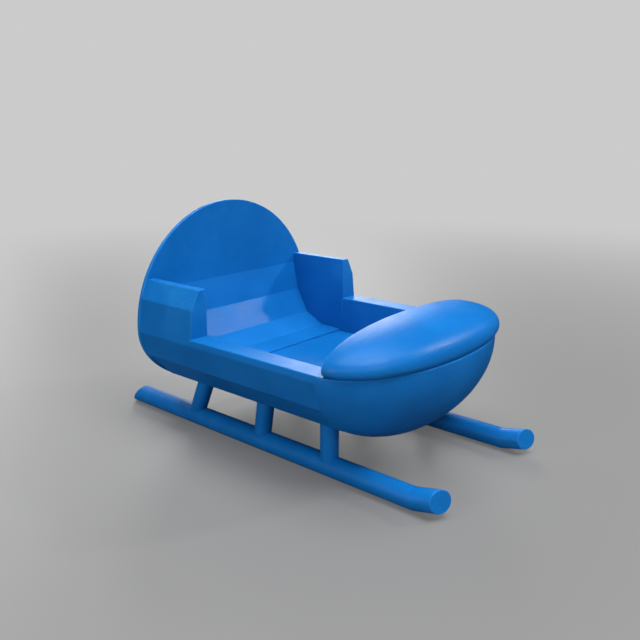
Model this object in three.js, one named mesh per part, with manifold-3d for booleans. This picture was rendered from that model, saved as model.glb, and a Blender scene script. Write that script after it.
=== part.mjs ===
// Toy horse drawn sleigh, printed in blue plastic: a round-backed tub with a domed front on two bar runners.
// Millimetres. +X is the front, +Y the sleigh's left side, +Z up. The runners rest on z = 0.
// Stations along X are measured from the front face of the back panel, and the finished sleigh is
// then moved so that the middle of its length lies at x = 0.

import * as THREE from 'three';
import { mergeVertices } from 'three/addons/utils/BufferGeometryUtils.js';
import Module from 'manifold-3d';

const wasm = await Module();
wasm.setup();

// ---- driving dimensions ----

const BLUE = 0x0d67ad;
const GAP = 0.05;               // between pieces that are moulded onto each other

const tub = {
  halfWidth: 20.18,             // widest outside, at the belt
  innerHalfWidth: 16.58,        // flat inner wall faces
  belt: 17.1,                   // height of the widest line
  depth: 12.0,                  // from the belt down to the keel
  length: 37.5,                 // back panel to the start of the nose
  floor: 11.65,                 // flat inner floor
  rim: 18.14,                   // top of the side walls
};

const back = { halfWidth: 20.14, rise: 19.84, thickness: 0.7 };   // rise over the belt

const armrest = { length: 12.6, top: 25.44, shoulder: 22.5, shoulderHalfWidth: 19.5, topHalfWidth: 18.02 };

const seat = {
  length: 11.8,                 // back panel to the seat's front edge
  top: 23.6,
  lip: 0.3,                     // step down from its front edge to the floor
  bands: [[1.1, 18.4], [3.6, 14.1], [7.3, 12.2]],   // [station, height] of the creases between its bands
};

const nose = {
  length: 10.55,
  wall: 3.4,
  planPower: 0.965,             // a power under 1 makes the outline squarer than an ellipse
  sidePower: 1.0,
};

const cap = {
  centre: 38.65,                // station of its widest line
  height: 18.88,                // of its rim there
  rear: 1.5,
  front: 9.4,
  halfWidth: 20.1,
  rise: 4.5,
  underside: 2.7,
  pitch: THREE.MathUtils.degToRad(-1.2),
  planPower: 0.9,
  sidePower: 0.92,
};

const runner = {
  radius: 1.59,
  spacing: 12.56,               // from the centre plane to each runner's axis
  rear: -11.8,
  rearSlant: 0.7,               // run of the rear cut for each millimetre of height
  bend: 48.4,
  toe: 4.02,
  toePitch: THREE.MathUtils.degToRad(13.2),
  toeSkew: 0.4,                 // run of the toe's cut for each millimetre across
};

const strut = { radius: 1.36 };
const STRUTS = [
  { place: 'rear', foot: 4.0, lean: THREE.MathUtils.degToRad(24.6) },
  { place: 'middle', foot: 19.9, lean: THREE.MathUtils.degToRad(8.8) },
  { place: 'front', foot: 33.7, lean: 0 },
];

const BAR_SIDES = 32;
const SMOOTH_STEPS = 48;

// ---- plain solids ----

const plastic = new THREE.MeshStandardMaterial({ color: BLUE, roughness: 0.45, metalness: 0 });

function toSolid(geometry) {
  const bare = geometry.clone();
  for (const name of ['normal', 'uv']) bare.deleteAttribute(name);
  const merged = mergeVertices(bare, 1e-4);
  const vertProperties = new Float32Array(merged.attributes.position.array);
  const triVerts = new Uint32Array(merged.index.array);
  return new wasm.Manifold(new wasm.Mesh({ numProp: 3, vertProperties, triVerts }));
}

function toGeometry(solid) {
  const mesh = solid.getMesh();
  const geometry = new THREE.BufferGeometry();
  geometry.setAttribute('position', new THREE.BufferAttribute(mesh.vertProperties, 3));
  geometry.setIndex(new THREE.BufferAttribute(mesh.triVerts, 1));
  return geometry;
}

// A solid from rings of points that follow each other along it, closed by a flat end at each side.
function loft(rings) {
  const sides = rings[0].length;
  const positions = rings.flat().flatMap((p) => [p.x, p.y, p.z]);
  const triangles = [];
  for (let ring = 0; ring + 1 < rings.length; ring++) {
    for (let i = 0; i < sides; i++) {
      const a = ring * sides + i;
      const b = ring * sides + ((i + 1) % sides);
      triangles.push(a, b, b + sides, a, b + sides, a + sides);
    }
  }
  const last = (rings.length - 1) * sides;
  for (let i = 1; i + 1 < sides; i++) {
    triangles.push(0, i + 1, i);
    triangles.push(last, last + i, last + i + 1);
  }
  const geometry = new THREE.BufferGeometry();
  geometry.setAttribute('position', new THREE.Float32BufferAttribute(positions, 3));
  geometry.setIndex(triangles);
  return geometry;
}

// The ring where a round bar through `point` along `direction` meets a plane.
function barRing(point, direction, radius, planePoint, planeNormal) {
  const side = new THREE.Vector3(0, 1, 0);
  const up = new THREE.Vector3().crossVectors(direction, side);
  const ring = [];
  for (let i = 0; i < BAR_SIDES; i++) {
    const angle = (2 * Math.PI * i) / BAR_SIDES;
    const start = point.clone()
      .addScaledVector(side, radius * Math.cos(angle))
      .addScaledVector(up, radius * Math.sin(angle));
    const run = planePoint.clone().sub(start).dot(planeNormal) / direction.dot(planeNormal);
    ring.push(start.addScaledVector(direction, run));
  }
  return ring;
}

// A prism along X with a section given as [y, z] points, going round from +Y to +Z.
function prismX(section, from, to) {
  const ring = (x) => section.map(([y, z]) => new THREE.Vector3(x, y, z));
  return loft([ring(from), ring(to)]);
}

// A prism along Y with a profile given as [x, z] points, going round from +Z to +X.
function prismY(profile, halfWidth) {
  const ring = (y) => profile.map(([x, z]) => new THREE.Vector3(x, y, z));
  return loft([ring(-halfWidth), ring(halfWidth)]);
}

function power(value, exponent) {
  return Math.abs(value) < 1e-6 ? 0 : Math.sign(value) * Math.abs(value) ** exponent;
}

// An ellipsoid whose half-lengths differ front and rear, above and below. Powers under 1 square it off.
function squaredEllipsoid({ front, rear, halfWidth, above, below, planPower, sidePower }) {
  const geometry = new THREE.SphereGeometry(1, SMOOTH_STEPS, SMOOTH_STEPS / 2);
  geometry.rotateX(Math.PI / 2);
  const position = geometry.attributes.position;
  for (let i = 0; i < position.count; i++) {
    const z = THREE.MathUtils.clamp(position.getZ(i), -1, 1);
    const belt = Math.sqrt(1 - z * z);
    const turn = Math.atan2(position.getY(i), position.getX(i));
    const reach = power(belt, sidePower);
    const x = reach * power(Math.cos(turn), planPower);
    const y = reach * power(Math.sin(turn), planPower);
    const height = power(z, sidePower) * (z > 0 ? above : below);
    position.setXYZ(i, x * (x > 0 ? front : rear), y * halfWidth, height);
  }
  return geometry;
}

// ---- outlines ----

// Left half of the tub's outside, as [y, z] corners from the keel up to the armrest.
const KEEL = [0, tub.belt - tub.depth];
const BILGE = [[7.72, 6.0], [14.33, 8.56], [19.04, 13.07]];
const BELT = [tub.halfWidth, tub.belt];
const SHOULDER = [armrest.shoulderHalfWidth, armrest.shoulder];

function between([y0, z0], [y1, z1], z) {
  return [y0 + ((y1 - y0) * (z - z0)) / (z1 - z0), z];
}

const FLOOR_EDGE = between(BILGE[1], BILGE[2], tub.floor);
const RIM_EDGE = between(BELT, SHOULDER, tub.rim);

// Turns a section drawn on the left side into one for either side, keeping its turning direction.
function sided(section, side) {
  return side > 0 ? section : section.map(([y, z]) => [-y, z]).reverse();
}

// ---- the tub ----

function backPanel() {
  const outline = [];
  for (let i = 0; i < 2 * SMOOTH_STEPS; i++) {
    const angle = (Math.PI * i) / SMOOTH_STEPS;
    const height = Math.sin(angle) > 0 ? back.rise : tub.depth;
    outline.push([back.halfWidth * Math.cos(angle), tub.belt + height * Math.sin(angle)]);
  }
  return prismX(outline, -back.thickness, 0);
}

function floorPan() {
  const left = [KEEL, ...BILGE.slice(0, 2), FLOOR_EDGE];
  const right = left.slice(1).reverse().map(([y, z]) => [-y, z]);
  return prismX([...left, ...right], GAP, tub.length);
}

function sideWall(side) {
  const inner = tub.innerHalfWidth;
  const foot = tub.floor + GAP;
  const section = [
    [inner, foot], between(BILGE[1], BILGE[2], foot), BILGE[2], BELT, RIM_EDGE, [inner, tub.rim],
  ];
  return toSolid(prismX(sided(section, side), GAP, tub.length)).subtract(capSolid(GAP));
}

function armrestBlock(side) {
  const inner = tub.innerHalfWidth;
  const foot = tub.rim + GAP;
  const section = [
    [inner, foot], between(BELT, SHOULDER, foot), SHOULDER,
    [armrest.topHalfWidth, armrest.top], [inner, armrest.top],
  ];
  return prismX(sided(section, side), GAP, armrest.length);
}

// The scooped seat: flat bands that curve from the back panel down onto the floor, with a low lip in front.
function scoopedSeat() {
  const foot = tub.floor + GAP;
  const profile = [
    [GAP, foot], [GAP, seat.top], ...seat.bands, [seat.length, tub.floor + seat.lip], [seat.length, foot],
  ];
  return prismY(profile, tub.innerHalfWidth - GAP);
}

// ---- the front ----

function capSolid(margin = 0) {
  const geometry = squaredEllipsoid({
    front: cap.front + margin,
    rear: cap.rear + margin,
    halfWidth: cap.halfWidth + margin,
    above: cap.rise + margin,
    below: cap.underside + margin,
    planPower: cap.planPower,
    sidePower: cap.sidePower,
  });
  geometry.rotateY(cap.pitch);
  geometry.translate(cap.centre, 0, cap.height);
  return toSolid(geometry);
}

function noseEllipsoid(inset) {
  const geometry = squaredEllipsoid({
    front: nose.length - inset,
    rear: nose.length - inset,
    halfWidth: tub.halfWidth - inset,
    above: tub.depth - inset,
    below: tub.depth - inset,
    planPower: nose.planPower,
    sidePower: nose.sidePower,
  });
  geometry.translate(tub.length, 0, tub.belt);
  return toSolid(geometry);
}

// A block ahead of a station, between two heights, to keep only that part of a solid.
function blockAhead(station, low, high) {
  const reach = 2 * tub.halfWidth;
  const block = new THREE.BoxGeometry(reach, 2 * reach, high - low);
  block.translate(station + reach / 2, 0, (low + high) / 2);
  return toSolid(block);
}

// The rounded front, hollow above floor level so that the foot well runs on under the cap.
function noseShell() {
  const well = noseEllipsoid(nose.wall).intersect(blockAhead(0, tub.floor, 2 * tub.rim));
  return noseEllipsoid(0)
    .intersect(blockAhead(tub.length + GAP, 0, tub.rim))
    .subtract(well)
    .subtract(capSolid(GAP));
}

// ---- runners and struts ----

const ALONG = new THREE.Vector3(1, 0, 0);

function runnerBar(side, radius = runner.radius) {
  const y = side * runner.spacing;
  const axis = (x) => new THREE.Vector3(x, y, runner.radius);
  const toeAxis = new THREE.Vector3(Math.cos(runner.toePitch), 0, Math.sin(runner.toePitch));
  const rearNormal = new THREE.Vector3(1, 0, -runner.rearSlant).normalize();
  const bendNormal = ALONG.clone().add(toeAxis).normalize();
  const toeNormal = toeAxis.clone().add(new THREE.Vector3(0, -runner.toeSkew, 0)).normalize();
  const rear = axis(runner.rear);
  const bend = axis(runner.bend);
  const tip = bend.clone().addScaledVector(toeAxis, runner.toe);
  return loft([
    barRing(rear, ALONG, radius, rear, rearNormal),
    barRing(bend, ALONG, radius, bend, bendNormal),
    barRing(tip, toeAxis, radius, tip, toeNormal),
  ]);
}

// A strut stands on its runner and ends flat against the sloping underside of the tub.
function strutBar(side, { foot, lean }) {
  const direction = new THREE.Vector3(Math.sin(lean), 0, Math.cos(lean));
  const start = new THREE.Vector3(foot, side * runner.spacing, runner.radius);
  const [[y0, z0], [y1, z1]] = BILGE;
  const slope = new THREE.Vector3(0, -(z1 - z0) * side, y1 - y0).normalize();
  const top = new THREE.Vector3(0, side * y0, z0).addScaledVector(slope, -GAP);
  const bar = loft([
    barRing(start, direction, strut.radius, start, new THREE.Vector3(0, 0, 1)),
    barRing(start, direction, strut.radius, top, slope),
  ]);
  return toSolid(bar).subtract(toSolid(runnerBar(side, runner.radius + GAP)));
}

// ---- assembly ----

const sleigh = new THREE.Group();

function add(name, shape) {
  const geometry = shape instanceof THREE.BufferGeometry ? shape : toGeometry(shape);
  geometry.computeVertexNormals();
  const mesh = new THREE.Mesh(geometry, plastic.clone());
  mesh.name = name;
  sleigh.add(mesh);
}

add('back_panel', backPanel());
add('floor_pan', floorPan());
add('seat', scoopedSeat());
add('nose', noseShell());
add('front_cap', capSolid());

for (const [name, side] of [['left', 1], ['right', -1]]) {
  add(`side_wall_${name}`, sideWall(side));
  add(`armrest_${name}`, armrestBlock(side));
  add(`runner_${name}`, runnerBar(side));
  for (const place of STRUTS) add(`strut_${name}_${place.place}`, strutBar(side, place));
}

// The origin is on the ground under the middle of the overall length.
const extent = new THREE.Box3().setFromObject(sleigh);
sleigh.position.x = -(extent.min.x + extent.max.x) / 2;

export default sleigh;
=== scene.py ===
"""A toy horse drawn sleigh moulded in satin blue plastic, built over its CAD frame.

Metres, in the frame of the CAD: +X is the front, +Y the sleigh's left side, +Z up, and the runners
rest on z = 0. Every moulded piece stands for one CAD node, with rounder curves and softened edges.
"""

import math

import bmesh
import bpy
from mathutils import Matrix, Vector


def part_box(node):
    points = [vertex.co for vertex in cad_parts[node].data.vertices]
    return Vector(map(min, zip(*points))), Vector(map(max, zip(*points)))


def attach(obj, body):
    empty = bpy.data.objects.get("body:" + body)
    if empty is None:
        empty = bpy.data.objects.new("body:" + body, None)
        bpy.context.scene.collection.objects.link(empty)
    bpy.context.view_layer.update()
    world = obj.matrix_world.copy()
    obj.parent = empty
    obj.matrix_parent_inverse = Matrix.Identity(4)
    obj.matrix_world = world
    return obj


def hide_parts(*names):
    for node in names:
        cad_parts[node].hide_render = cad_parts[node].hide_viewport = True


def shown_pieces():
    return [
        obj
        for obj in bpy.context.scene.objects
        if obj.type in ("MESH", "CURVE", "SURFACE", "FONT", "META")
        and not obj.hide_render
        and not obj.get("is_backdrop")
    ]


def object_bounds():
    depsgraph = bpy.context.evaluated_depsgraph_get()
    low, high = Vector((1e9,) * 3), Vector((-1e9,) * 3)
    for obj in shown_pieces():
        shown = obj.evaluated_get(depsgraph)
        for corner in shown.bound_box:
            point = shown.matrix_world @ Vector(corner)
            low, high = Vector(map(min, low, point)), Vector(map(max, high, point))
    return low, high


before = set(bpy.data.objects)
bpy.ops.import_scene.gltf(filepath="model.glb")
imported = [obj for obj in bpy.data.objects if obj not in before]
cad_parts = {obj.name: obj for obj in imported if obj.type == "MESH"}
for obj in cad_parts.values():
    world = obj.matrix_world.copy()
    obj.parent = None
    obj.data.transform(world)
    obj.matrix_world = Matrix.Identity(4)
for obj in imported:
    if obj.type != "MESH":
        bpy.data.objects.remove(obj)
cad_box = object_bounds()

MM = 0.001

# ---- places taken from the CAD nodes ----

WALL_LOW, WALL_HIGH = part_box("side_wall_left")
PANEL_LOW, PANEL_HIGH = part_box("back_panel")
PAN_LOW, PAN_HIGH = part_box("floor_pan")
CAP_LOW, CAP_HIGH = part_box("front_cap")
RUNNER_LOW, RUNNER_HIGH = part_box("runner_left")
ARMREST_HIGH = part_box("armrest_left")[1]
SEAT_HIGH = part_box("seat")[1]
NOSE_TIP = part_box("nose")[1].x

TUB_REAR = PANEL_HIGH.x             # front face of the back panel
TUB_FRONT = WALL_HIGH.x             # where the nose begins
HALF_WIDTH = WALL_HIGH.y            # widest line of the tub, at the belt
INNER_HALF_WIDTH = WALL_LOW.y
RIM = WALL_HIGH.z
FLOOR = PAN_HIGH.z
KEEL = PAN_LOW.z
BELT = KEEL + 12.0 * MM             # height of the widest line
ARMREST_TOP = ARMREST_HIGH.z
ARMREST_FRONT = ARMREST_HIGH.x
SEAT_FRONT = SEAT_HIGH.x

# ---- corners and curves of the moulding ----

BILGE = [(7.72 * MM, 6.0 * MM), (14.33 * MM, 8.56 * MM), (19.04 * MM, 13.07 * MM)]
SHOULDER = (19.5 * MM, 22.5 * MM)   # widest corner of an armrest
ARMREST_CREST = 18.02 * MM          # half width of its top face
SEAT_CREASES = [(1.1 * MM, 18.4 * MM), (3.6 * MM, 14.1 * MM), (7.3 * MM, 12.2 * MM)]
SEAT_LIP = 0.3 * MM                 # step down from the seat to the floor

NOSE_WALL = 3.4 * MM
NOSE_PLAN_POWER = 0.965             # under 1 the outline is squarer than an ellipse

CAP_HEIGHT = 18.88 * MM             # of its widest line
CAP_REAR = 1.5 * MM                 # from there to its rear edge
CAP_RISE = 4.5 * MM
CAP_UNDERSIDE = 2.7 * MM
CAP_PITCH = math.radians(-1.2)
CAP_PLAN_POWER = 0.9
CAP_SIDE_POWER = 0.92

RUNNER_RADIUS = 1.59 * MM
RUNNER_SPACING = (RUNNER_LOW.y + RUNNER_HIGH.y) / 2
RUNNER_BEND = TUB_REAR + 48.4 * MM
RUNNER_REAR_SLANT = 0.7             # run of the rear cut for each unit of height
TOE_LENGTH = 4.02 * MM
TOE_PITCH = math.radians(13.2)
TOE_SKEW = 0.4                      # run of the toe's cut for each unit across

STRUT_RADIUS = 1.36 * MM
STRUTS = {
    "rear": (4.0 * MM, math.radians(24.6)),     # foot from the back panel, lean to the front
    "middle": (19.9 * MM, math.radians(8.8)),
    "front": (33.7 * MM, 0.0),
}
STRUT_SINK = 1.0 * MM               # how far a strut runs on into the tub it is moulded to

EDGE = 0.16 * MM                    # radius of a softened edge
SEAT_EDGE = 0.08 * MM               # the same between the seat's bands
BAR_EDGE = 0.10 * MM                # and where a runner is cut or mitred
EDGE_STEPS = 4
CREASE = math.radians(9)            # edges turning more than this are softened
SHARP = math.radians(35)            # edges turning more than this stay sharp: they are joints
WEAR_AND_HIGHLIGHT_FROM = math.radians(20)        # how far the surface turns where the paler edge, rubbed wear and painted highlight, begins to show
WEAR_AND_HIGHLIGHT_FULL = math.radians(45)
TOUCH = 0.002 * MM                  # nearer to a plane than this lies on it
WELD = 0.0005 * MM                  # points nearer to each other than this are one
ZERO = 1e-9

OUTLINE_STEPS = 192
BAR_SIDES = 64
CURVE_STEPS = 96
LIP_STEPS = 6                       # over a quarter turn, on the nose's upper edge


# ---- meshes ----

def mark_wear_and_highlight(made):
    """Marks each vertex from 0 to 1 by how much the softened edges through it stand out. This is
    the mask for rubbed wear and for a painted edge highlight.
    """
    made.normal_update()
    wear_and_highlight = made.verts.layers.float.new("wear_and_highlight")
    for vertex in made.verts:
        turns = [edge.calc_face_angle_signed(0.0) for edge in vertex.link_edges]
        turned = sum(turn for turn in turns if 0 < turn < SHARP)
        vertex[wear_and_highlight] = min(1.0, max(0.0, (turned - WEAR_AND_HIGHLIGHT_FROM) / (WEAR_AND_HIGHLIGHT_FULL - WEAR_AND_HIGHLIGHT_FROM)))


def moulded(name, mesh_data, replaced):
    """Turns a bmesh into a piece of the sleigh that stands for one CAD node."""
    bmesh.ops.remove_doubles(mesh_data, verts=mesh_data.verts, dist=WELD)
    bmesh.ops.recalc_face_normals(mesh_data, faces=mesh_data.faces)
    mark_wear_and_highlight(mesh_data)
    mesh = bpy.data.meshes.new(name)
    mesh_data.to_mesh(mesh)
    mesh_data.free()
    mesh.shade_smooth()
    mesh.set_sharp_from_angle(angle=SHARP)
    piece = bpy.data.objects.new(name, mesh)
    bpy.context.scene.collection.objects.link(piece)
    normals = piece.modifiers.new("even shading", "WEIGHTED_NORMAL")
    normals.keep_sharp = True
    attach(piece, "root")
    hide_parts(replaced)
    return piece


def loft(rings):
    """A closed solid from rings of points that follow each other, with a flat face at each end."""
    made = bmesh.new()
    rows = [[made.verts.new(point) for point in ring] for ring in rings]
    sides = len(rings[0])
    for row, following in zip(rows, rows[1:]):
        for i in range(sides):
            j = (i + 1) % sides
            made.faces.new((row[i], row[j], following[j], following[i]))
    made.faces.new(reversed(rows[0]))
    made.faces.new(rows[-1])
    return made


def soften(made, joined=lambda middle: False, radius=EDGE):
    """Rounds the edges of a solid, except where it is moulded onto a neighbour."""
    bmesh.ops.recalc_face_normals(made, faces=made.faces)
    edges = []
    for edge in made.edges:
        middle = (edge.verts[0].co + edge.verts[1].co) / 2
        if abs(edge.calc_face_angle_signed(0.0)) > CREASE and not joined(middle):
            edges.append(edge)
    bmesh.ops.bevel(
        made, geom=edges, offset=radius, offset_type="OFFSET", segments=EDGE_STEPS,
        profile=0.5, affect="EDGES", clamp_overlap=True,
    )
    return made


def near(value, target):
    """Whether a coordinate lies on a plane that two pieces share."""
    return abs(value - target) < TOUCH


def prism_x(section, stations):
    """A solid whose section in Y and Z runs along X, with a ring at each station."""
    return loft([[Vector((x, y, z)) for y, z in section] for x in stations])


def prism_y(profile, half_width):
    """A solid whose profile in X and Z runs across the sleigh."""
    return loft([[Vector((x, y, z)) for x, z in profile] for y in (-half_width, half_width)])


def sided(section, side):
    """A section drawn on the left side, as it is on side 1 (left) or -1 (right)."""
    return [(side * y, z) for y, z in section]


def between(low, high, z):
    """The point at height z on the line through two points of a section."""
    share = (z - low[1]) / (high[1] - low[1])
    return low[0] + (high[0] - low[0]) * share, z


def power(value, exponent):
    """A power that keeps the sign of a sine or cosine, and keeps their zeros exact."""
    return math.copysign(abs(value) ** exponent, value) if abs(value) > ZERO else 0.0


# ---- the tub ----

def back_panel():
    """A thin plate, round above the belt and flattened to the tub's depth below it."""
    outline = []
    for i in range(OUTLINE_STEPS):
        angle = 2 * math.pi * i / OUTLINE_STEPS
        height = PANEL_HIGH.z - BELT if math.sin(angle) > 0 else BELT - PANEL_LOW.z
        outline.append((PANEL_HIGH.y * math.cos(angle), BELT + height * math.sin(angle)))
    disc = prism_x(outline, (PANEL_LOW.x, PANEL_HIGH.x))
    moulded("moulded_back_panel", soften(disc), "back_panel")


def floor_pan():
    left = [(0.0, KEEL), *BILGE[:2], between(BILGE[1], BILGE[2], FLOOR)]
    section = left + [(-y, z) for y, z in reversed(left[1:])]

    def joined(middle):
        return near(middle.z, FLOOR) or near(middle.x, TUB_REAR) or near(middle.x, TUB_FRONT)

    pan = prism_x(section, (TUB_REAR, TUB_FRONT))
    moulded("moulded_floor_pan", soften(pan, joined), "floor_pan")


def side_wall(name, side):
    belt = (HALF_WIDTH, BELT)
    section = [
        (INNER_HALF_WIDTH, FLOOR), between(BILGE[1], BILGE[2], FLOOR), BILGE[2],
        belt, between(belt, SHOULDER, RIM), (INNER_HALF_WIDTH, RIM),
    ]

    def joined(middle):
        ends = near(middle.x, TUB_REAR) or near(middle.x, TUB_FRONT)
        under_armrest = near(middle.z, RIM) and middle.x < ARMREST_FRONT
        return ends or under_armrest or near(middle.z, FLOOR)

    covered = ARMREST_FRONT - 2 * EDGE      # just under the armrest the rim's rounding runs out
    wall = prism_x(sided(section, side), (TUB_REAR, covered, ARMREST_FRONT, TUB_FRONT))
    moulded(f"moulded_side_wall_{name}", soften(wall, joined), f"side_wall_{name}")


def armrest(name, side):
    belt = (HALF_WIDTH, BELT)
    section = [
        (INNER_HALF_WIDTH, RIM), between(belt, SHOULDER, RIM), SHOULDER,
        (ARMREST_CREST, ARMREST_TOP), (INNER_HALF_WIDTH, ARMREST_TOP),
    ]

    def joined(middle):
        return near(middle.z, RIM) or near(middle.x, TUB_REAR)

    block = prism_x(sided(section, side), (TUB_REAR, ARMREST_FRONT))
    moulded(f"moulded_armrest_{name}", soften(block, joined), f"armrest_{name}")


def seat():
    profile = [(TUB_REAR, FLOOR), (TUB_REAR, SEAT_HIGH.z)]
    profile += [(TUB_REAR + x, z) for x, z in SEAT_CREASES]
    profile += [(SEAT_FRONT, FLOOR + SEAT_LIP), (SEAT_FRONT, FLOOR)]

    def joined(middle):
        side = near(abs(middle.y), INNER_HALF_WIDTH)
        return side or near(middle.x, TUB_REAR) or near(middle.z, FLOOR)

    scoop = prism_y(profile, INNER_HALF_WIDTH)
    moulded("moulded_seat", soften(scoop, joined, radius=SEAT_EDGE), "seat")


# ---- the front ----

def nose():
    """A rounded shell, solid below the floor, swept from the right side to the left."""
    depth = BELT - KEEL
    length = NOSE_TIP - TUB_FRONT

    def reach(inset, z):
        rise = max(-1.0, min(1.0, (z - BELT) / (depth - inset)))
        return math.sqrt(1 - rise * rise)

    outside = []
    for i in range(CURVE_STEPS + 1):
        top = math.asin((RIM - EDGE - BELT) / depth)
        angle = -math.pi / 2 + (top + math.pi / 2) * i / CURVE_STEPS
        outside.append((0.0, BELT + depth * math.sin(angle)))
    turns = [math.pi / 2 * i / LIP_STEPS for i in range(1, LIP_STEPS + 1)]
    outer_lip = [(EDGE * (1 - math.cos(t)), RIM - EDGE + EDGE * math.sin(t)) for t in turns]
    inner_lip = [(NOSE_WALL - inset, z) for inset, z in reversed(outer_lip)]
    inside = []
    for i in range(CURVE_STEPS // 2 + 1):
        share = i / (CURVE_STEPS // 2)
        inside.append((NOSE_WALL, RIM - EDGE + (FLOOR - RIM + EDGE) * share))
    contour = outside + outer_lip + inner_lip + inside

    made = bmesh.new()
    rows = []
    for i in range(CURVE_STEPS + 1):
        angle = math.pi * (i / CURVE_STEPS - 0.5)
        ahead = power(math.cos(angle), NOSE_PLAN_POWER) if 0 < i < CURVE_STEPS else 0.0
        across = power(math.sin(angle), NOSE_PLAN_POWER)
        row = []
        for inset, z in contour:
            x = TUB_FRONT + (length - inset) * reach(inset, z) * ahead
            row.append(made.verts.new((x, (HALF_WIDTH - inset) * reach(inset, z) * across, z)))
        row.append(made.verts.new((TUB_FRONT, 0.0, FLOOR)))
        rows.append(row)
    for row, following in zip(rows, rows[1:]):
        for j in range(len(row) - 1):
            made.faces.new((row[j], row[j + 1], following[j + 1], following[j]))
    made.faces.new(rows[0])
    made.faces.new(reversed(rows[-1]))
    moulded("moulded_nose", made, "nose")


def front_cap():
    """A cushion-shaped lid: an ellipsoid with squared shoulders, blunt behind, long in front."""
    centre = Vector((CAP_LOW.x + CAP_REAR, 0.0, CAP_HEIGHT))
    front = CAP_HIGH.x - centre.x
    half_width = CAP_HIGH.y
    made = bmesh.new()
    rows = []
    for i in range(CURVE_STEPS + 1):
        angle = math.pi * (i / CURVE_STEPS - 0.5)
        reach = power(math.cos(angle), CAP_SIDE_POWER) if 0 < i < CURVE_STEPS else 0.0
        height = power(math.sin(angle), CAP_SIDE_POWER)
        height *= CAP_RISE if height > 0 else CAP_UNDERSIDE
        row = []
        for j in range(OUTLINE_STEPS):
            turn = 2 * math.pi * j / OUTLINE_STEPS
            ahead = reach * power(math.cos(turn), CAP_PLAN_POWER)
            ahead *= front if ahead > 0 else CAP_REAR
            across = reach * power(math.sin(turn), CAP_PLAN_POWER) * half_width
            x = ahead * math.cos(CAP_PITCH) + height * math.sin(CAP_PITCH)
            z = height * math.cos(CAP_PITCH) - ahead * math.sin(CAP_PITCH)
            row.append(made.verts.new(centre + Vector((x, across, z))))
        rows.append(row)
    for row, following in zip(rows, rows[1:]):
        for j in range(OUTLINE_STEPS):
            k = (j + 1) % OUTLINE_STEPS
            made.faces.new((row[j], row[k], following[k], following[j]))
    moulded("moulded_front_cap", made, "front_cap")


# ---- runners and struts ----

def bar_ring(point, direction, radius, cut_point, cut_normal):
    """The ring where a round bar through a point meets the plane that cuts it."""
    side = Vector((0, 1, 0))
    up = direction.cross(side)
    ring = []
    for i in range(BAR_SIDES):
        angle = 2 * math.pi * i / BAR_SIDES
        start = point + radius * (side * math.cos(angle) + up * math.sin(angle))
        run = (cut_point - start).dot(cut_normal) / direction.dot(cut_normal)
        ring.append(start + direction * run)
    return ring


def runner(name, side):
    """A bar on the ground, cut at a slant behind and bent up at the toe."""
    along = Vector((1, 0, 0))
    toe = Vector((math.cos(TOE_PITCH), 0, math.sin(TOE_PITCH)))
    y = side * RUNNER_SPACING
    rear = Vector((RUNNER_LOW.x + RUNNER_RADIUS * RUNNER_REAR_SLANT, y, RUNNER_RADIUS))
    bend = Vector((RUNNER_BEND, y, RUNNER_RADIUS))
    tip = bend + toe * TOE_LENGTH
    bar = loft([
        bar_ring(rear, along, RUNNER_RADIUS, rear, Vector((1, 0, -RUNNER_REAR_SLANT))),
        bar_ring(bend, along, RUNNER_RADIUS, bend, along + toe),
        bar_ring(tip, toe, RUNNER_RADIUS, tip, toe + Vector((0, -TOE_SKEW, 0))),
    ])
    moulded(f"moulded_runner_{name}", soften(bar, radius=BAR_EDGE), f"runner_{name}")


def strut(name, side, place, foot, lean):
    """A bar from a runner's centre line to the underside of the tub."""
    direction = Vector((math.sin(lean), 0, math.cos(lean)))
    start = Vector((TUB_REAR + foot, side * RUNNER_SPACING, RUNNER_RADIUS))
    (y0, z0), (y1, z1) = BILGE[:2]
    slope = Vector((0, side * (z0 - z1), y1 - y0)).normalized()
    top = Vector((0, side * y0, z0)) + slope * STRUT_SINK
    bar = loft([
        bar_ring(start, direction, STRUT_RADIUS, start, Vector((0, 0, 1))),
        bar_ring(start, direction, STRUT_RADIUS, top, slope),
    ])
    moulded(f"moulded_strut_{name}_{place}", bar, f"strut_{name}_{place}")


# ---- plastic ----

class Shade:
    """A number that changes over a surface. Python's operators on it add Math nodes."""

    def __init__(self, recipe, socket):
        self.recipe = recipe
        self.socket = socket

    def maths(self, operation, *values):
        return self.recipe.add("ShaderNodeMath", {"operation": operation}, dict(enumerate(values)))

    def __add__(self, other):
        return self.maths("ADD", self, other)

    def __sub__(self, other):
        return self.maths("SUBTRACT", self, other)

    def __rsub__(self, other):
        return self.maths("SUBTRACT", other, self)

    def __mul__(self, other):
        return self.maths("MULTIPLY", self, other)

    __radd__ = __add__
    __rmul__ = __mul__

    def step(self, start, end):
        """Runs smoothly from 0 at start to 1 at end."""
        settings = {"interpolation_type": "SMOOTHSTEP"}
        inputs = {"Value": self, "From Min": start, "From Max": end}
        return self.recipe.add("ShaderNodeMapRange", settings, inputs)


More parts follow.
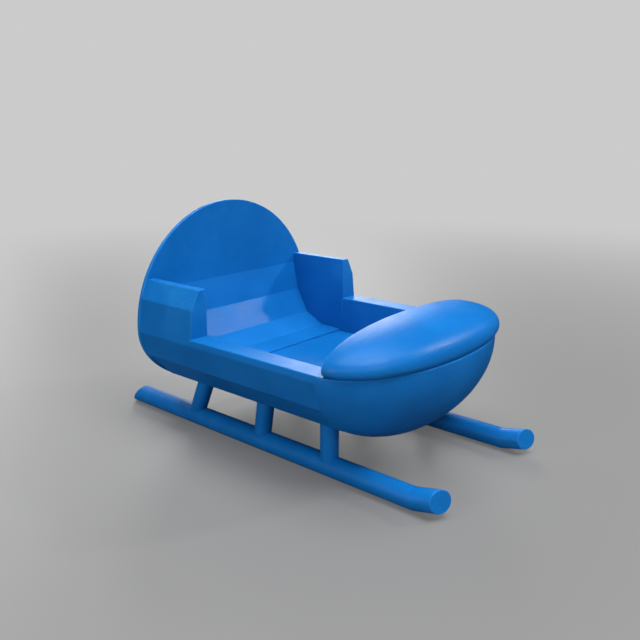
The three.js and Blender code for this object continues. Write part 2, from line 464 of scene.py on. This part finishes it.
class Recipe:
    """The nodes of one material or world."""

    def __init__(self, owner, finish="Principled BSDF", output="Material Output"):
        owner.use_nodes = True
        self.owner = owner
        self.nodes = owner.node_tree.nodes
        self.links = owner.node_tree.links
        self.finish = self.nodes[finish]
        self.output = self.nodes[output]

    def connect(self, socket, value):
        if isinstance(value, Shade):
            self.links.new(value.socket, socket)
        else:
            socket.default_value = value

    def add(self, kind, settings, inputs, output=0):
        node = self.nodes.new(kind)
        for key, value in settings.items():
            setattr(node, key, value)
        for key, value in inputs.items():
            self.connect(node.inputs[key], value)
        return Shade(self, node.outputs[output])

    def set(self, **values):
        for key, value in values.items():
            self.connect(self.finish.inputs[key.replace("_", " ")], value)

    def melt(self, share, other):
        """Shows another shader instead of the finish, by a share from 0 to 1."""
        own = Shade(self, self.finish.outputs[0])
        mixed = self.add("ShaderNodeMixShader", {}, {0: share, 1: own, 2: other})
        self.connect(self.output.inputs["Surface"], mixed)

    def camera_ray(self):
        """1 where the camera looks straight at a place, and 0 for light and reflections."""
        return self.add("ShaderNodeLightPath", {}, {}, "Is Camera Ray")

    def millimetres(self, stretch=(1, 1, 1)):
        """The place on the piece in millimetres, so that a noise's scale is per millimetre."""
        place = self.add("ShaderNodeTexCoord", {}, {}, "Object")
        scale = tuple(part / MM for part in stretch)
        return self.add("ShaderNodeVectorMath", {"operation": "MULTIPLY"}, {0: place, 1: scale})

    def noise(self, place, scale, detail=2.0, roughness=0.5):
        inputs = {"Vector": place, "Scale": scale, "Detail": detail, "Roughness": roughness}
        return self.add("ShaderNodeTexNoise", {}, inputs, "Fac")

    def blend(self, share, first, second):
        """A mix of two colours."""
        return self.add("ShaderNodeMix", {"data_type": "RGBA"}, {0: share, 6: first, 7: second}, 2)


DEEP_BLUE = (0.003, 0.122, 0.408, 1.0)
CLEAR_BLUE = (0.004, 0.144, 0.464, 1.0)
# paler blue on convex edges: partly rubbed wear, partly a painted highlight
RUBBED_AND_HIGHLIGHT_BLUE = (0.014, 0.205, 0.570, 1.0)
SHEEN = 0.15                        # specular level
REFRACTION = 1.5

# scales of the noise, per millimetre
CLOUD_SCALE = 0.11
PATCH_SCALE = 0.45
SKIN_SCALE = 1.9
GRAIN_SCALE = 6.5
SCRATCH_SCALE = 1.6
SCRATCH_STRETCH = (0.35, 2.6, 2.6)  # scratches run along the sleigh

EVEN_WEAR_AND_HIGHLIGHT = 0.35                    # part of the paler edge, rubbed wear and painted highlight, that doesn't come in patches
RUBBED_AND_HIGHLIGHT = 0.6                        # how much of the paler edge blue, rubbed wear and painted highlight, shows where the mask is full

ROUGHNESS = 0.33
CLOUD_ROUGHNESS = 0.05              # this and the next three are added to it
PATCH_ROUGHNESS = 0.05
SCRATCH_ROUGHNESS = 0.07
EDGE_ROUGHNESS = 0.08

SKIN_HEIGHT = 0.034                 # heights in millimetres
GRAIN_HEIGHT = 0.009
SCRATCH_DEPTH = 0.008


def satin_plastic(name):
    """Moulded plastic: faint clouds in the colour, a fine skin, and convex edges a little paler,
    partly as rubbed wear and partly as a painted highlight.
    """
    recipe = Recipe(bpy.data.materials.new(name))
    place = recipe.millimetres()
    clouds = recipe.noise(place, CLOUD_SCALE, detail=3.0).step(0.3, 0.7)
    patches = recipe.noise(place, PATCH_SCALE).step(0.35, 0.7)
    skin = recipe.noise(place, SKIN_SCALE)
    grain = recipe.noise(place, GRAIN_SCALE, detail=1.0)
    stretched = recipe.millimetres(SCRATCH_STRETCH)
    scratched = recipe.noise(stretched, SCRATCH_SCALE, detail=4.0, roughness=0.65)
    scratches = scratched.step(0.62, 0.72)

    # the edge mask makes convex edges paler, partly as rubbed wear and partly as a painted
    # highlight, and also makes them rougher
    wear_and_highlight = recipe.add("ShaderNodeAttribute", {"attribute_name": "wear_and_highlight"}, {}, "Fac")
    edge = wear_and_highlight * (EVEN_WEAR_AND_HIGHLIGHT + (1 - EVEN_WEAR_AND_HIGHLIGHT) * patches)

    body = recipe.blend(clouds, DEEP_BLUE, CLEAR_BLUE)
    # colour: paler blue on convex edges, as rubbed wear and as a painted highlight
    colour = recipe.blend(edge * RUBBED_AND_HIGHLIGHT, body, RUBBED_AND_HIGHLIGHT_BLUE)
    gloss = ROUGHNESS + CLOUD_ROUGHNESS * clouds + PATCH_ROUGHNESS * patches
    gloss += SCRATCH_ROUGHNESS * scratches + EDGE_ROUGHNESS * edge
    height = SKIN_HEIGHT * skin + GRAIN_HEIGHT * grain - SCRATCH_DEPTH * scratches
    relief = recipe.add("ShaderNodeBump", {}, {"Strength": 1.0, "Distance": MM, "Height": height})
    recipe.set(Base_Color=colour, Roughness=gloss, Normal=relief)
    recipe.set(IOR=REFRACTION, Specular_IOR_Level=SHEEN)
    return recipe.owner


# ---- the studio ----

VIEW_FROM = (0.07312, -0.08389, 0.04820)
VIEW_HEADING = 130.663              # degrees from +X to +Y
VIEW_DIP = 14.938                   # degrees below level
SENSOR_WIDTH = 36.0                 # this and the lens in millimetres
LENS = 39.41
NEAREST = 0.002
FARTHEST = 20.0


def camera():
    data = bpy.data.cameras.new("viewpoint")
    data.sensor_width = SENSOR_WIDTH
    data.lens = LENS
    data.clip_start = NEAREST
    data.clip_end = FARTHEST
    viewpoint = bpy.data.objects.new("viewpoint", data)
    viewpoint.location = VIEW_FROM
    tilt, turn = math.radians(90 - VIEW_DIP), math.radians(VIEW_HEADING - 90)
    viewpoint.rotation_euler = (tilt, 0.0, turn)
    bpy.context.scene.collection.objects.link(viewpoint)
    bpy.context.scene.camera = viewpoint


LAMPS = {
    # azimuth from +X to +Y and elevation in degrees, distance, size, power in watts
    "left_softbox": (51.8, 30.6, 0.40, 0.03, 0.46),
    "right_softbox": (-56.7, 26.9, 0.40, 0.04, 0.22),
    "overhead_panel": (0.0, 88.0, 0.45, 0.40, 2.10),
    "high_front_panel": (0.0, 60.0, 0.45, 0.20, 1.10),
    "rear_strip": (133.0, 22.0, 0.50, 0.25, 0.85),
    "front_panel": (-14.0, 24.0, 0.50, 0.15, 0.42),
    "side_panel": (-100.0, 15.0, 0.45, 0.20, 0.64),
    "rear_panel": (172.0, 16.0, 0.50, 0.25, 0.75),
}
WORLD = 0.6                         # the pale backdrop, as the camera sees it
AIR_LIGHT = 0.02                    # what it adds to the light
WHITE = (1.0, 1.0, 1.0, 1.0)
FLOOR_RADIUS = 6.0
FLOOR_SIDES = 96
FLOOR_ROUGHNESS = 0.5
FLOOR_TONE = (0.15, 0.15, 0.15, 1.0)
FLOOR_HAZE = 0.16                   # how far the floor melts into the air close by
FLOOR_FADE = (10.0, 320.0)          # millimetres from the middle, over which it melts altogether


def lamp(name, azimuth, elevation, distance, size, power_watts):
    data = bpy.data.lights.new(name, "AREA")
    data.shape = "DISK"
    data.size = size
    data.energy = power_watts
    light = bpy.data.objects.new(name, data)
    heading, height = math.radians(azimuth), math.radians(elevation)
    level = math.cos(height)
    outward = Vector((math.cos(heading) * level, math.sin(heading) * level, math.sin(height)))
    centre = (Vector(cad_box[0]) + Vector(cad_box[1])) / 2
    light.location = centre + outward * distance
    light.rotation_euler = outward.to_track_quat("Z", "Y").to_euler()
    light.visible_camera = False
    bpy.context.scene.collection.objects.link(light)


def air():
    """Hardly any light of its own, and a pale backdrop where the camera sees past the floor."""
    recipe = Recipe(bpy.data.worlds.new("studio_air"), "Background", "World Output")
    recipe.set(Color=WHITE, Strength=AIR_LIGHT)
    backdrop = recipe.add("ShaderNodeBackground", {}, {"Color": WHITE, "Strength": WORLD})
    recipe.melt(recipe.camera_ray(), backdrop)
    bpy.context.scene.world = recipe.owner


def ground():
    """A pale floor that melts into the backdrop with distance, as far as the camera sees."""
    made = bmesh.new()
    bmesh.ops.create_circle(made, cap_ends=True, segments=FLOOR_SIDES, radius=FLOOR_RADIUS)
    mesh = bpy.data.meshes.new("studio_floor")
    made.to_mesh(mesh)
    made.free()
    floor = bpy.data.objects.new("studio_floor", mesh)
    floor.visible_glossy = False        # the plastic doesn't mirror it
    bpy.context.scene.collection.objects.link(floor)

    recipe = Recipe(bpy.data.materials.new("pale_floor"))
    recipe.set(Base_Color=FLOOR_TONE, Roughness=FLOOR_ROUGHNESS)
    place = recipe.millimetres()
    distance = recipe.add("ShaderNodeVectorMath", {"operation": "LENGTH"}, {0: place}, "Value")
    haze = recipe.add("ShaderNodeEmission", {}, {"Color": WHITE, "Strength": WORLD})
    melted = FLOOR_HAZE + (1 - FLOOR_HAZE) * distance.step(*FLOOR_FADE)
    recipe.melt(melted * recipe.camera_ray(), haze)
    mesh.materials.append(recipe.owner)
    floor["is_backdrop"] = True


def studio():
    for name, values in LAMPS.items():
        lamp(name, *values)
    air()
    ground()
    bpy.context.scene.view_settings.view_transform = "Standard"


# ---- assembly ----

camera()
studio()

back_panel()
floor_pan()
seat()
nose()
front_cap()
for side_name, side_sign in (("left", 1), ("right", -1)):
    side_wall(side_name, side_sign)
    armrest(side_name, side_sign)
    runner(side_name, side_sign)
    for place_name, (strut_foot, strut_lean) in STRUTS.items():
        strut(side_name, side_sign, place_name, strut_foot, strut_lean)

blue_plastic = satin_plastic("blue_plastic")
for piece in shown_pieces():
    piece.data.materials.clear()
    piece.data.materials.append(blue_plastic)
